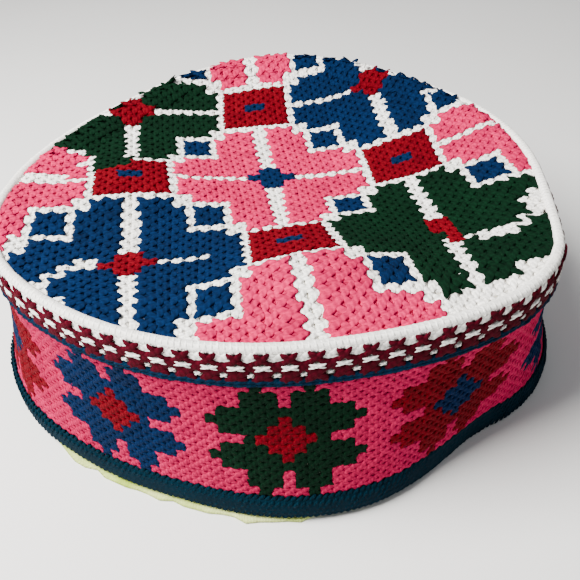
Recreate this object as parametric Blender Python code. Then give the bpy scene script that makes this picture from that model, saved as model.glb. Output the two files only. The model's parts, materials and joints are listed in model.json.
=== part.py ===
"""Round flat-topped cap, embroidered all over in wool cross stitch.

The cap stands crown up on its hem, with its front towards -Y. Every piece follows one
plan: a short table gives the rim and the hem at sections round the cap, and smooth
curves run between them. Each piece is a closed solid of its own, in metres.
"""

import math
from typing import NamedTuple

import bmesh
import bpy
from mathutils import Matrix, Vector

MM = 0.001

# Driving dimensions
SEGMENTS = 72              # steps round the cap
RIM_HEIGHT = 70.5 * MM     # top of the wall, where the crown is sewn on
GAP = 0.3 * MM             # clearance between neighbouring pieces
SHELL = 2.5 * MM           # canvas with its wool stitches

WELT_RADIUS = 1.6 * MM     # whipped cord round the crown
WELT_SIDES = 8
SMOOTH_ANGLE = math.radians(40.0)
TRIM_HEIGHT = 8.5 * MM     # three rows of stitches under the welt
CORD_RADIUS = 0.75 * MM    # thin dark line under the trim
CORD_SIDES = 6
BINDING_HEIGHT = 11.6 * MM
BINDING_PROUD = 1.1 * MM   # the binding stands out from the side band
BINDING_BACK = 2.9 * MM    # depth of its fold behind the band's face
BINDING_LEVEL = 0.4        # share of its height at which it takes the wall's radius
BINDING_SHOULDER = 2.2 * MM
BINDING_ROLL = 1.6 * MM    # rounding of its lower edge
BINDING_SOLE = 2.2 * MM    # width of the flat that it rests on
SOLE_INSET = 0.1 * MM      # the flat starts this far behind the band's face
LINING_SHELL = 1.0 * MM

CROWN_STEP = 1.3 * MM      # crown's edge lies below the top of the welt
CROWN_DISH = 11.0 * MM     # how far the middle of the crown sags below its edge
DISH_POWER = 1.5           # keeps the dish level at its edge
PILLOW_FADE = 6.0          # pillows die out over the last sixth of the radius
CROWN_RINGS = 8
CROWN_EDGE_GAP = 0.6 * MM  # its sloping edge leans towards the welt

SIDE_ROWS = 5              # rows of faces in the side band's height
WAIST_START = 0.16         # heights as a share of the wall, from the rim down
WAIST_DEEPEST = 0.30
WAIST_END = 0.85

FOOT_LIFT = 1.6 * MM       # the binding rides over the lining's edge here
FOOT_THICK = 1.1 * MM
FOOT_REACH = 2.4 * MM      # how far the lining's edge shows past the binding
FOOT_FROM = -62.0          # azimuths in degrees, front is 0 and +X is 90
FOOT_TO = 8.0
FOOT_FADE = 10.0


class Section(NamedTuple):
    """One upright section of the wall; angle in degrees, lengths in millimetres."""

    azimuth: float
    rim_radius: float
    rim_lift: float
    waist: float
    hem_radius: float


SECTIONS = (
    Section(azimuth=0, rim_radius=91.5, rim_lift=0.0, waist=1.5, hem_radius=94.8),
    Section(azimuth=15, rim_radius=92.5, rim_lift=0.0, waist=1.5, hem_radius=94.0),
    Section(azimuth=30, rim_radius=96.0, rim_lift=0.0, waist=2.0, hem_radius=89.0),
    Section(azimuth=42, rim_radius=99.0, rim_lift=0.0, waist=2.0, hem_radius=87.8),
    Section(azimuth=53, rim_radius=98.3, rim_lift=0.0, waist=1.5, hem_radius=94.6),
    Section(azimuth=64, rim_radius=92.8, rim_lift=-0.5, waist=1.5, hem_radius=99.3),
    Section(azimuth=75, rim_radius=89.0, rim_lift=-0.5, waist=1.5, hem_radius=98.5),
    Section(azimuth=90, rim_radius=88.0, rim_lift=-1.0, waist=1.5, hem_radius=96.5),
    Section(azimuth=115, rim_radius=88.5, rim_lift=-1.5, waist=1.5, hem_radius=96.0),
    Section(azimuth=137, rim_radius=89.5, rim_lift=-1.5, waist=1.5, hem_radius=95.5),
    Section(azimuth=160, rim_radius=93.0, rim_lift=0.5, waist=1.5, hem_radius=95.0),
    Section(azimuth=180, rim_radius=95.0, rim_lift=2.0, waist=1.5, hem_radius=96.0),
    Section(azimuth=200, rim_radius=93.0, rim_lift=0.5, waist=1.5, hem_radius=95.5),
    Section(azimuth=223, rim_radius=89.5, rim_lift=-1.5, waist=1.5, hem_radius=97.0),
    Section(azimuth=245, rim_radius=90.0, rim_lift=-1.5, waist=1.5, hem_radius=102.0),
    Section(azimuth=270, rim_radius=94.0, rim_lift=-0.5, waist=1.0, hem_radius=108.5),
    Section(azimuth=285, rim_radius=97.0, rim_lift=0.5, waist=1.0, hem_radius=107.5),
    Section(azimuth=300, rim_radius=97.5, rim_lift=1.0, waist=1.5, hem_radius=103.5),
    Section(azimuth=315, rim_radius=95.5, rim_lift=1.0, waist=1.5, hem_radius=97.5),
    Section(azimuth=337, rim_radius=93.0, rim_lift=0.5, waist=1.5, hem_radius=92.8),
)


class Pillow(NamedTuple):
    """A soft rise or hollow in the crown, in millimetres."""

    x: float
    y: float
    rise: float
    spread: float


CROWN_RELIEF = (
    Pillow(x=8, y=-52, rise=4.5, spread=24),
    Pillow(x=-53, y=8, rise=4.0, spread=17),
    Pillow(x=52, y=-32, rise=-3.0, spread=18),
    Pillow(x=-62, y=-34, rise=-1.8, spread=18),
    Pillow(x=20, y=40, rise=-1.5, spread=20),
)


class Finish(NamedTuple):
    """Colour and surface of one piece's material."""

    colour: tuple[float, float, float]
    roughness: float
    metallic: float = 0.0


FINISHES = {
    "crown": Finish(colour=(0.72, 0.13, 0.25), roughness=0.95),
    "crown_welt": Finish(colour=(0.82, 0.81, 0.74), roughness=0.95),
    "trim_band": Finish(colour=(0.12, 0.005, 0.02), roughness=0.95),
    "trim_cord": Finish(colour=(0.005, 0.05, 0.09), roughness=0.95),
    "side_band": Finish(colour=(0.70, 0.12, 0.23), roughness=0.95),
    "hem_binding": Finish(colour=(0.003, 0.055, 0.085), roughness=0.95),
    "lining": Finish(colour=(0.66, 0.78, 0.38), roughness=0.90),
}


def clear_scene() -> None:
    """Remove whatever the scene holds."""
    for item in list(bpy.data.objects):
        bpy.data.objects.remove(item, do_unlink=True)


def ease(value: float) -> float:
    """Smooth step from 0 to 1."""
    value = min(max(value, 0.0), 1.0)
    return value * value * (3.0 - 2.0 * value)


def round_the_cap(column: str, azimuth: float) -> float:
    """Value of a table column at any azimuth, on one smooth closed curve, in metres."""
    azimuth %= 360.0
    count = len(SECTIONS)
    at = max(index for index, row in enumerate(SECTIONS) if row.azimuth <= azimuth)
    spots = []
    for offset in (-1, 0, 1, 2):
        turns, index = divmod(at + offset, count)
        row = SECTIONS[index]
        spots.append((row.azimuth + 360.0 * turns, getattr(row, column)))
    (a0, v0), (a1, v1), (a2, v2), (a3, v3) = spots
    share = (azimuth - a1) / (a2 - a1)
    slope_1 = (v2 - v0) / (a2 - a0) * (a2 - a1)
    slope_2 = (v3 - v1) / (a3 - a1) * (a2 - a1)
    s2, s3 = share * share, share ** 3
    value = ((2 * s3 - 3 * s2 + 1) * v1 + (s3 - 2 * s2 + share) * slope_1
             + (3 * s2 - 2 * s3) * v2 + (s3 - s2) * slope_2)
    return value * MM


def rim_top(azimuth: float) -> float:
    """Height of the wall's upper edge."""
    return RIM_HEIGHT + round_the_cap("rim_lift", azimuth)


def wall_radius(azimuth: float, height: float) -> float:
    """Radius of the wall's outer face at a height above the table."""
    down = min(max(1.0 - height / rim_top(azimuth), 0.0), 1.0)
    rim = round_the_cap("rim_radius", azimuth)
    hem = round_the_cap("hem_radius", azimuth)
    tuck = ease((down - WAIST_START) / (WAIST_DEEPEST - WAIST_START))
    tuck *= ease((WAIST_END - down) / (WAIST_END - WAIST_DEEPEST))
    return rim + (hem - rim) * ease(down * 0.5) * 2.0 - round_the_cap("waist", azimuth) * tuck


def on_plan(azimuth: float, radius: float, height: float) -> Vector:
    """Point at an azimuth and radius; the front of the cap is at -Y."""
    angle = math.radians(azimuth)
    return Vector((radius * math.sin(angle), -radius * math.cos(angle), height))


def azimuths() -> list[float]:
    """Azimuths of the steps round the cap."""
    return [360.0 * step / SEGMENTS for step in range(SEGMENTS)]


def crown_height(azimuth: float, radius: float, edge: float) -> float:
    """Height of the crown's upper face: a shallow dish with soft pillows."""
    share = radius / edge
    spot = on_plan(azimuth, radius, 0.0) / MM
    height = rim_top(azimuth) * share ** 2 + RIM_HEIGHT * (1.0 - share ** 2)
    height -= CROWN_STEP + CROWN_DISH * (1.0 - share ** 2) ** DISH_POWER
    fade = ease((1.0 - share) * PILLOW_FADE)
    for pillow in CROWN_RELIEF:
        away = math.hypot(spot.x - pillow.x, spot.y - pillow.y) / pillow.spread
        height += fade * pillow.rise * MM * math.exp(-away * away)
    return height


def make_material(name: str, finish: Finish) -> bpy.types.Material:
    """Principled material of one piece."""
    material = bpy.data.materials.new(name + "_wool")
    material.use_nodes = True
    shader = material.node_tree.nodes["Principled BSDF"]
    shader.inputs["Base Color"].default_value = (*finish.colour, 1.0)
    shader.inputs["Roughness"].default_value = finish.roughness
    shader.inputs["Metallic"].default_value = finish.metallic
    material.diffuse_color = (*finish.colour, 1.0)
    return material


def add_object(name: str, mesh: bpy.types.Mesh) -> bpy.types.Object:
    """Link a mesh as a named object with its material, shaded smooth."""
    item = bpy.data.objects.new(name, mesh)
    bpy.context.collection.objects.link(item)
    mesh.materials.append(make_material(name, FINISHES[name]))
    mesh.shade_smooth()
    mesh.set_sharp_from_angle(angle=SMOOTH_ANGLE)
    return item


def ring_solid(name: str, section) -> bpy.types.Object:
    """Closed ring whose section at each azimuth is a loop of (radius, height)."""
    shape = bmesh.new()
    loops = []
    for azimuth in azimuths():
        loops.append([shape.verts.new(on_plan(azimuth, *spot)) for spot in section(azimuth)])
    sides = len(loops[0])
    for step, loop in enumerate(loops):
        following = loops[(step + 1) % SEGMENTS]
        for side in range(sides):
            after = (side + 1) % sides
            shape.faces.new((loop[side], loop[after], following[after], following[side]))
    bmesh.ops.recalc_face_normals(shape, faces=shape.faces)
    mesh = bpy.data.meshes.new(name)
    shape.to_mesh(mesh)
    shape.free()
    return add_object(name, mesh)


def round_section(azimuth: float, radius: float, height: float, tube: float,
                  sides: int) -> list[tuple[float, float]]:
    """Round section of a cord that follows the rim."""
    turns = [2.0 * math.pi * (side + 0.5) / sides for side in range(sides)]
    return [(radius + tube * math.cos(turn), height + tube * math.sin(turn)) for turn in turns]


def welt_middle(azimuth: float) -> float:
    """Height of the middle of the welt."""
    return rim_top(azimuth) - WELT_RADIUS


def welt_section(azimuth: float) -> list[tuple[float, float]]:
    """Section of the cord round the crown."""
    radius = round_the_cap("rim_radius", azimuth) - WELT_RADIUS
    return round_section(azimuth, radius, welt_middle(azimuth), WELT_RADIUS, WELT_SIDES)


def trim_top(azimuth: float) -> float:
    """Height of the trim's upper edge, under the welt."""
    return welt_middle(azimuth) - WELT_RADIUS - GAP


def wall_section(azimuth: float, top: float, bottom: float, outer: float, inner: float,
                 rows: int) -> list[tuple[float, float]]:
    """Section of a wall that follows the cap's side, between two insets from its face."""
    heights = [top + (bottom - top) * row / rows for row in range(rows + 1)]
    face = [(wall_radius(azimuth, height) - outer, height) for height in heights]
    back = [(wall_radius(azimuth, height) - inner, height) for height in reversed(heights)]
    return face + back


def trim_section(azimuth: float) -> list[tuple[float, float]]:
    """Section of the band of three rows under the welt."""
    top = trim_top(azimuth)
    return wall_section(azimuth, top, top - TRIM_HEIGHT, 0.0, SHELL, 2)


def cord_section(azimuth: float) -> list[tuple[float, float]]:
    """Section of the thin cord under the trim."""
    height = trim_top(azimuth) - TRIM_HEIGHT - GAP - CORD_RADIUS
    radius = wall_radius(azimuth, height) - CORD_RADIUS
    return round_section(azimuth, radius, height, CORD_RADIUS, CORD_SIDES)


def side_top(azimuth: float) -> float:
    """Height of the side band's upper edge, under the cord."""
    return trim_top(azimuth) - TRIM_HEIGHT - 2.0 * (GAP + CORD_RADIUS)


def side_section(azimuth: float) -> list[tuple[float, float]]:
    """Section of the tall side band."""
    return wall_section(azimuth, side_top(azimuth), BINDING_HEIGHT + GAP, 0.0, SHELL, SIDE_ROWS)


def foot_share(azimuth: float, margin: float) -> float:
    """How far the lining's edge is out at an azimuth, from 0 to 1."""
    turn = (azimuth + 180.0) % 360.0 - 180.0
    into = min(turn - FOOT_FROM, FOOT_TO - turn) + margin
    return ease(into / FOOT_FADE)


def binding_face(azimuth: float) -> float:
    """Radius of the side band's face at the level of the binding."""
    return wall_radius(azimuth, BINDING_LEVEL * BINDING_HEIGHT)


def binding_section(azimuth: float) -> list[tuple[float, float]]:
    """Section of the folded binding: a flat tape with a rounded face and underside."""
    lift = FOOT_LIFT * foot_share(azimuth, 2.0 * FOOT_FADE)
    top = BINDING_HEIGHT
    face = binding_face(azimuth)
    sole = face - SOLE_INSET
    return [
        (wall_radius(azimuth, top) - BINDING_BACK, top),
        (wall_radius(azimuth, top) + 0.2 * BINDING_PROUD, top),
        (face + 0.9 * BINDING_PROUD, top - BINDING_SHOULDER),
        (face + BINDING_PROUD, 0.5 * top),
        (face + 0.8 * BINDING_PROUD, lift + BINDING_ROLL),
        (sole, lift),
        (sole - BINDING_SOLE, lift),
        (face - BINDING_BACK, lift + 0.75 * BINDING_ROLL),
    ]


def lining_section(azimuth: float) -> list[tuple[float, float]]:
    """Section of the lining: a thin wall whose edge turns out under the binding."""
    outer_inset = BINDING_BACK + 2.0 * GAP
    inner_inset = outer_inset + LINING_SHELL
    section = wall_section(azimuth, side_top(azimuth), BINDING_HEIGHT + GAP,
                           outer_inset, inner_inset, SIDE_ROWS)
    middle = len(section) // 2
    root = binding_face(azimuth) - outer_inset
    reach = foot_share(azimuth, 0.0) * (outer_inset + BINDING_PROUD + FOOT_REACH)
    foot = [
        (root, FOOT_THICK),
        (root + reach, FOOT_THICK),
        (root + reach, 0.0),
        (root - LINING_SHELL, 0.0),
    ]
    return section[:middle] + foot + section[middle:]


def build_crown() -> bpy.types.Object:
    """The top panel: a dished disc of rings, with its wall from a Solidify modifier."""
    shape = bmesh.new()
    middle = shape.verts.new((0.0, 0.0, crown_height(0.0, 0.0, 1.0)))
    rings = []
    for ring in range(1, CROWN_RINGS + 1):
        loop = []
        for azimuth in azimuths():
            edge = round_the_cap("rim_radius", azimuth) - 2.0 * WELT_RADIUS - CROWN_EDGE_GAP
            radius = edge * ring / CROWN_RINGS
            height = crown_height(azimuth, radius, edge)
            loop.append(shape.verts.new(on_plan(azimuth, radius, height)))
        rings.append(loop)
    for step in range(SEGMENTS):
        after = (step + 1) % SEGMENTS
        shape.faces.new((middle, rings[0][step], rings[0][after]))
        for inner, outer in zip(rings, rings[1:]):
            shape.faces.new((inner[step], outer[step], outer[after], inner[after]))
    bmesh.ops.recalc_face_normals(shape, faces=shape.faces)
    if sum(face.normal.z for face in shape.faces) < 0.0:
        bmesh.ops.reverse_faces(shape, faces=shape.faces)
    mesh = bpy.data.meshes.new("crown")
    shape.to_mesh(mesh)
    shape.free()
    crown = add_object("crown", mesh)
    wall = crown.modifiers.new("wall", 'SOLIDIFY')
    wall.thickness = SHELL
    wall.offset = -1.0
    return crown


def centre_on_origin(pieces: list[bpy.types.Object]) -> None:
    """Shift every mesh so that the middle of the cap's box stands over the origin."""
    spots = [vertex.co for piece in pieces for vertex in piece.data.vertices]
    low = [min(spot[axis] for spot in spots) for axis in range(2)]
    high = [max(spot[axis] for spot in spots) for axis in range(2)]
    shift = Vector((-(low[0] + high[0]) / 2.0, -(low[1] + high[1]) / 2.0, 0.0))
    for piece in pieces:
        piece.data.transform(Matrix.Translation(shift))


def build_cap() -> list[bpy.types.Object]:
    """Every piece of the cap, from the crown down to the lining."""
    pieces = [
        build_crown(),
        ring_solid("crown_welt", welt_section),
        ring_solid("trim_band", trim_section),
        ring_solid("trim_cord", cord_section),
        ring_solid("side_band", side_section),
        ring_solid("hem_binding", binding_section),
        ring_solid("lining", lining_section),
    ]
    centre_on_origin(pieces)
    return pieces


clear_scene()
build_cap()
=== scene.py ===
"""Dress of the round cap: wool cross stitches over canvas, whipped edge, binding and lining.

Lengths are in metres unless a name or docstring says otherwise. Azimuth 0 is the front of
the cap, towards -Y, and 90 is +X. A stitch is modelled once and its copies are laid on the
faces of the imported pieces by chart.
"""

import json
import logging
import math
from collections.abc import Callable, Iterable
from dataclasses import dataclass, field
from enum import Enum

import bpy
import numpy as np
from mathutils import Matrix, Vector
from mathutils.bvhtree import BVHTree

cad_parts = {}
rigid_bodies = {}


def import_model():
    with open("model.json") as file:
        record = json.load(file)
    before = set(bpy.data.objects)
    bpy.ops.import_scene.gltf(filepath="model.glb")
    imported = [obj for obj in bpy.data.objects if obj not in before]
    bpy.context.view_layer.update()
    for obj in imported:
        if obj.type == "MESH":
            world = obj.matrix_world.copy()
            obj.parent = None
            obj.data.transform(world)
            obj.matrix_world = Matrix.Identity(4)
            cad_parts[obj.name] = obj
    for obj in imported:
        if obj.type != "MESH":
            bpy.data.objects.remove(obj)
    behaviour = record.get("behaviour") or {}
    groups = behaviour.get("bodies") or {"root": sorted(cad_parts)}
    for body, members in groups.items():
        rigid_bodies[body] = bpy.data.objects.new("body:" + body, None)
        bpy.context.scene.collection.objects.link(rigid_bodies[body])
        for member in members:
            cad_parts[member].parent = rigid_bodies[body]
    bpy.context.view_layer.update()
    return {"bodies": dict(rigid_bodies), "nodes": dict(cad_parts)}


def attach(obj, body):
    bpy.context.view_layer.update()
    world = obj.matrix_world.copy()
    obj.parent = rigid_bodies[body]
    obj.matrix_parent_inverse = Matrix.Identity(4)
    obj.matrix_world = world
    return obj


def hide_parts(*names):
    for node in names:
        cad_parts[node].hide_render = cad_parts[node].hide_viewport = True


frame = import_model()

LOG = logging.getLogger("cap")
MM = 0.001
STEPS = 72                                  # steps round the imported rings
RUN_OUT = 0.2                               # start of the rays cast at the wall

Pair = tuple[float, float]
Triple = tuple[float, float, float]


def crown_middle() -> Pair:
    """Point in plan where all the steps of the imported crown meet, which the cap is laid out about.

    Returns:
        Its X and Y.
    """
    mesh = frame["nodes"]["crown"].data
    corners = np.zeros(len(mesh.loops), np.int32)
    mesh.loops.foreach_get("vertex_index", corners)
    spots = np.zeros(len(mesh.vertices) * 3)
    mesh.vertices.foreach_get("co", spots)
    places, same = np.unique(np.round(spots.reshape(-1, 3), 6), axis=0, return_inverse=True)
    uses = np.bincount(same.reshape(-1)[corners])
    hubs = places[uses > STEPS // 2]
    return float(hubs[:, 0].mean()), float(hubs[:, 1].mean())


PLAN_CENTRE = crown_middle()


class Wool(Enum):
    """Colours of wool that the cap is worked in."""

    PINK = "pink"
    BLUE = "blue"
    GREEN = "green"
    RED = "red"
    CREAM = "cream"
    MAROON = "maroon"
    NAVY = "navy"
    TEAL = "teal"


class Weave(Enum):
    """Cloths under and inside the stitches."""

    CANVAS = "canvas"
    LIME = "lime"
    BRAID = "braid"


class NodeBench:
    """Lays out the shader nodes of one material."""

    LEVELS = (0.3, 0.7)           # the range that noise mostly keeps to
    BUMP = 0.7
    SPECULAR = 0.05
    SHEEN_ROUGHNESS = 0.5

    def __init__(self, name: str) -> None:
        """Start a material.

        Args:
            name: the material's name.
        """
        self.material = bpy.data.materials.new(name)
        self.material.use_nodes = True
        self.tree = self.material.node_tree
        self.shader = self.tree.nodes["Principled BSDF"]

    def node(self, kind: str, links: dict | None = None, **values: object) -> bpy.types.Node:
        """Add a node.

        Args:
            kind: the node's type name, without ShaderNode.
            links: input name or number to an output socket or a constant.
            values: settings of the node itself.

        Returns:
            The new node.
        """
        made = self.tree.nodes.new("ShaderNode" + kind)
        for name, value in values.items():
            setattr(made, name, value)
        for name, value in (links or {}).items():
            if isinstance(value, bpy.types.NodeSocket):
                self.tree.links.new(value, made.inputs[name])
            else:
                made.inputs[name].default_value = value
        return made

    def sums(self, operation: str, first: object, second: object = 0.0) -> bpy.types.NodeSocket:
        """Add a Math node.

        Args:
            operation: the sum to do.
            first: its first value or socket.
            second: its second value or socket.

        Returns:
            The result's socket.
        """
        return self.node("Math", {0: first, 1: second}, operation=operation).outputs[0]

    def noise(self, scale: float, detail: float = 2.0) -> bpy.types.NodeSocket:
        """Add noise on the piece's own coordinates.

        Args:
            scale: cells to the metre.
            detail: octaves.

        Returns:
            The noise's value socket.
        """
        place = self.node("TexCoord").outputs["Object"]
        made = self.node("TexNoise", {"Vector": place, "Scale": scale, "Detail": detail})
        return made.outputs["Fac"]

    def spread(self, value: bpy.types.NodeSocket, low: float, high: float) -> bpy.types.NodeSocket:
        """Map the levels of noise onto a range.

        Args:
            value: the socket to map.
            low: result at the lower level.
            high: result at the upper level.

        Returns:
            The mapped socket.
        """
        made = self.node("MapRange", {0: value, 1: self.LEVELS[0], 2: self.LEVELS[1], 3: low, 4: high})
        return made.outputs[0]

    def blend(self, share: object, first: object, second: object) -> bpy.types.NodeSocket:
        """Mix two colours.

        Args:
            share: how much of the second, as a value or socket.
            first: first colour or socket.
            second: second colour or socket.

        Returns:
            The colour's socket.
        """
        made = self.node("Mix", data_type='RGBA')
        for number, value in ((0, share), (6, first), (7, second)):
            if isinstance(value, bpy.types.NodeSocket):
                self.tree.links.new(value, made.inputs[number])
            else:
                made.inputs[number].default_value = value
        return made.outputs[2]

    def finish(self, colour: bpy.types.NodeSocket, height: bpy.types.NodeSocket, depth: float,
               roughness: float, sheen: float, tint: Triple) -> bpy.types.Material:
        """Join colour and relief to the shader.

        Args:
            colour: base colour socket.
            height: relief, 0 to 1.
            depth: height of the relief.
            roughness: the surface's roughness.
            sheen: weight of the fibres' sheen.
            tint: colour of the sheen.

        Returns:
            The material.
        """
        bump = self.node("Bump", {"Height": height, "Strength": self.BUMP, "Distance": depth})
        self.tree.links.new(bump.outputs[0], self.shader.inputs["Normal"])
        self.tree.links.new(colour, self.shader.inputs["Base Color"])
        self.shader.inputs["Roughness"].default_value = roughness
        self.shader.inputs["Specular IOR Level"].default_value = self.SPECULAR
        self.shader.inputs["Sheen Weight"].default_value = sheen
        self.shader.inputs["Sheen Roughness"].default_value = self.SHEEN_ROUGHNESS
        self.shader.inputs["Sheen Tint"].default_value = (*tint, 1.0)
        return self.material


@dataclass(frozen=True)
class YarnFinish:
    """Plied wool yarn: its two shades, its record slot, its sheen and its fibres.

    Scales of noise are cells to the metre.
    """

    wool: Wool
    colour: Triple
    shade: Triple
    slot: str
    sheen: float
    plies: float = 2.0
    ply_height: float = 0.7
    fibre_scale: float = 4200.0
    fibre_height: float = 0.9
    faded_scale: float = 38.0
    faded_share: float = 0.5
    fleck_scale: float = 1500.0
    fleck_tones: Pair = (0.82, 1.14)
    # painted shade in the ply grooves and painted highlight on the ridges: their tones
    ply_shade_tones: Pair = (0.74, 1.1)
    relief: float = 0.16 * MM
    roughness: float = 0.93

    def material(self) -> bpy.types.Material:
        """Make the yarn's material, with the twist of its plies from the UV map, and painted shade in the
        grooves between them.

        Returns:
            The material.
        """
        bench = NodeBench(self.wool.value + "_yarn")
        map_uv = bench.node("UVMap", uv_map="ply").outputs[0]
        parts = bench.node("SeparateXYZ", {0: map_uv})
        along = bench.sums("MULTIPLY", parts.outputs[0], math.tau)
        around = bench.sums("MULTIPLY", parts.outputs[1], math.tau * self.plies)
        twist = bench.sums("SINE", bench.sums("ADD", along, around))
        ridge = bench.sums("MULTIPLY", bench.sums("ADD", twist, 1.0), self.ply_height / 2.0)
        fibre = bench.noise(self.fibre_scale, 3.0)
        height = bench.sums("ADD", ridge, bench.sums("MULTIPLY", fibre, self.fibre_height))
        faded = bench.spread(bench.noise(self.faded_scale), 0.0, self.faded_share)
        colour = bench.blend(faded, (*self.colour, 1.0), (*self.shade, 1.0))
        fleck = bench.spread(bench.noise(self.fleck_scale), *self.fleck_tones)
        tone = bench.node("Attribute", attribute_name="tone").outputs["Fac"]
        # painted shade in the grooves between the plies and painted highlight on their ridges, following
        # the twist's height
        groove_shade, raised = self.ply_shade_tones
        steps = {0: ridge, 1: 0.0, 2: self.ply_height, 3: groove_shade, 4: raised}
        painted_ply_shade = bench.node("MapRange", steps).outputs[0]
        value = bench.sums("MULTIPLY", bench.sums("MULTIPLY", fleck, painted_ply_shade), tone)
        lit = bench.node("HueSaturation", {"Color": colour, "Value": value})
        return bench.finish(lit.outputs[0], height, self.relief, self.roughness, self.sheen, self.colour)


@dataclass(frozen=True)
class ClothFinish:
    """Woven cloth: two shades, record slot and threads to the metre."""

    weave: Weave
    colour: Triple
    shade: Triple
    slot: str
    threads: float
    patches: float = 60.0
    fibre_scale: float = 3500.0
    fibre_height: float = 0.8
    worn_scale: float = 900.0
    worn_tones: Pair = (0.86, 1.1)
    relief: float = 0.2 * MM
    roughness: float = 0.95
    sheen: float = 0.1

    def material(self) -> bpy.types.Material:
        """Make the cloth's material, woven along the UV map.

        Returns:
            The material.
        """
        bench = NodeBench(self.weave.value + "_cloth")
        map_uv = bench.node("UVMap", uv_map="weave").outputs[0]
        parts = bench.node("SeparateXYZ", {0: map_uv})
        warp, weft = (bench.sums("SINE", bench.sums("MULTIPLY", way, math.tau * self.threads))
                      for way in parts.outputs[:2])
        thread = bench.sums("MULTIPLY", bench.sums("ADD", warp, weft), 0.25)
        fibre = bench.sums("MULTIPLY", bench.noise(self.fibre_scale, 3.0), self.fibre_height)
        height = bench.sums("ADD", bench.sums("ADD", thread, 0.5), fibre)
        stain = bench.spread(bench.noise(self.patches, 3.0), 0.0, 1.0)
        colour = bench.blend(stain, (*self.colour, 1.0), (*self.shade, 1.0))
        worn = bench.spread(bench.noise(self.worn_scale), *self.worn_tones)
        lit = bench.node("HueSaturation", {"Color": colour, "Value": worn})
        return bench.finish(lit.outputs[0], height, self.relief, self.roughness, self.sheen, self.colour)


YARNS = {yarn.wool: yarn for yarn in (
    YarnFinish(Wool.PINK, (0.57, 0.009, 0.088), (0.36, 0.0045, 0.043), "pink_wool", sheen=0.05),
    YarnFinish(Wool.BLUE, (0.001, 0.011, 0.045), (0.001, 0.0075, 0.028), "blue_wool", sheen=0.06),
    YarnFinish(Wool.GREEN, (0.001, 0.013, 0.005), (0.001, 0.008, 0.0034), "green_wool", sheen=0.05),
    YarnFinish(Wool.RED, (0.125, 0.0002, 0.005), (0.080, 0.0002, 0.0035), "red_wool", sheen=0.02),
    YarnFinish(Wool.CREAM, (0.93, 0.91, 0.87), (0.87, 0.84, 0.78), "cream_wool", sheen=0.2),
    YarnFinish(Wool.MAROON, (0.060, 0.001, 0.007), (0.038, 0.001, 0.005), "maroon_wool", sheen=0.04),
    YarnFinish(Wool.NAVY, (0.001, 0.014, 0.038), (0.001, 0.010, 0.020), "navy_wool", sheen=0.05),
    YarnFinish(Wool.TEAL, (0.001, 0.013, 0.024), (0.001, 0.009, 0.015), "teal_wool", sheen=0.05),
)}

CLOTHS = {cloth.weave: cloth for cloth in (
    ClothFinish(Weave.CANVAS, (0.62, 0.58, 0.48), (0.54, 0.49, 0.39), "band_wool", 900.0),
    ClothFinish(Weave.LIME, (0.36, 0.48, 0.06), (0.64, 0.69, 0.30), "lime_cotton", 1100.0),
    ClothFinish(Weave.BRAID, (0.001, 0.012, 0.022), (0.001, 0.008, 0.014), "teal_wool", 420.0),
)}


@dataclass
class Shape:
    """A mesh as plain arrays: points, faces as corner lists, and a UV pair for each corner."""

    points: np.ndarray
    corners: np.ndarray
    starts: np.ndarray
    uv: np.ndarray

    @staticmethod
    def read(item: bpy.types.Object, uv: np.ndarray) -> "Shape":
        """Take a modelled object's mesh as arrays.

        Args:
            item: the object.
            uv: UV pairs, one for each face corner.

        Returns:
            The arrays.
        """
        mesh = item.data
        points = np.zeros(len(mesh.vertices) * 3)
        mesh.vertices.foreach_get("co", points)
        corners = np.zeros(len(mesh.loops), np.int32)
        mesh.loops.foreach_get("vertex_index", corners)
        starts = np.zeros(len(mesh.polygons), np.int32)
        mesh.polygons.foreach_get("loop_start", starts)
        return Shape(points.reshape(-1, 3), corners, starts, uv)

    def joined(self, other: "Shape") -> "Shape":
        """This shape and another as one.

        Args:
            other: the other shape.

        Returns:
            Both together.
        """
        return Shape(
            np.vstack([self.points, other.points]),
            np.concatenate([self.corners, other.corners + len(self.points)]),
            np.concatenate([self.starts, other.starts + len(self.corners)]),
            np.vstack([self.uv, other.uv]),
        )

    def turned(self, degrees: float) -> "Shape":
        """A copy turned about Z.

        Args:
            degrees: the turn.

        Returns:
            The turned copy.
        """
        turn = math.radians(degrees)
        spin = np.array([[math.cos(turn), math.sin(turn), 0.0],
                         [-math.sin(turn), math.cos(turn), 0.0], [0.0, 0.0, 1.0]])
        return Shape(self.points @ spin, self.corners, self.starts, self.uv)

    def scaled(self, factors: Triple) -> "Shape":
        """A copy scaled along X, Y and Z.

        Args:
            factors: the three scales.

        Returns:
            The scaled copy.
        """
        return Shape(self.points * np.array(factors), self.corners, self.starts, self.uv)


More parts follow.
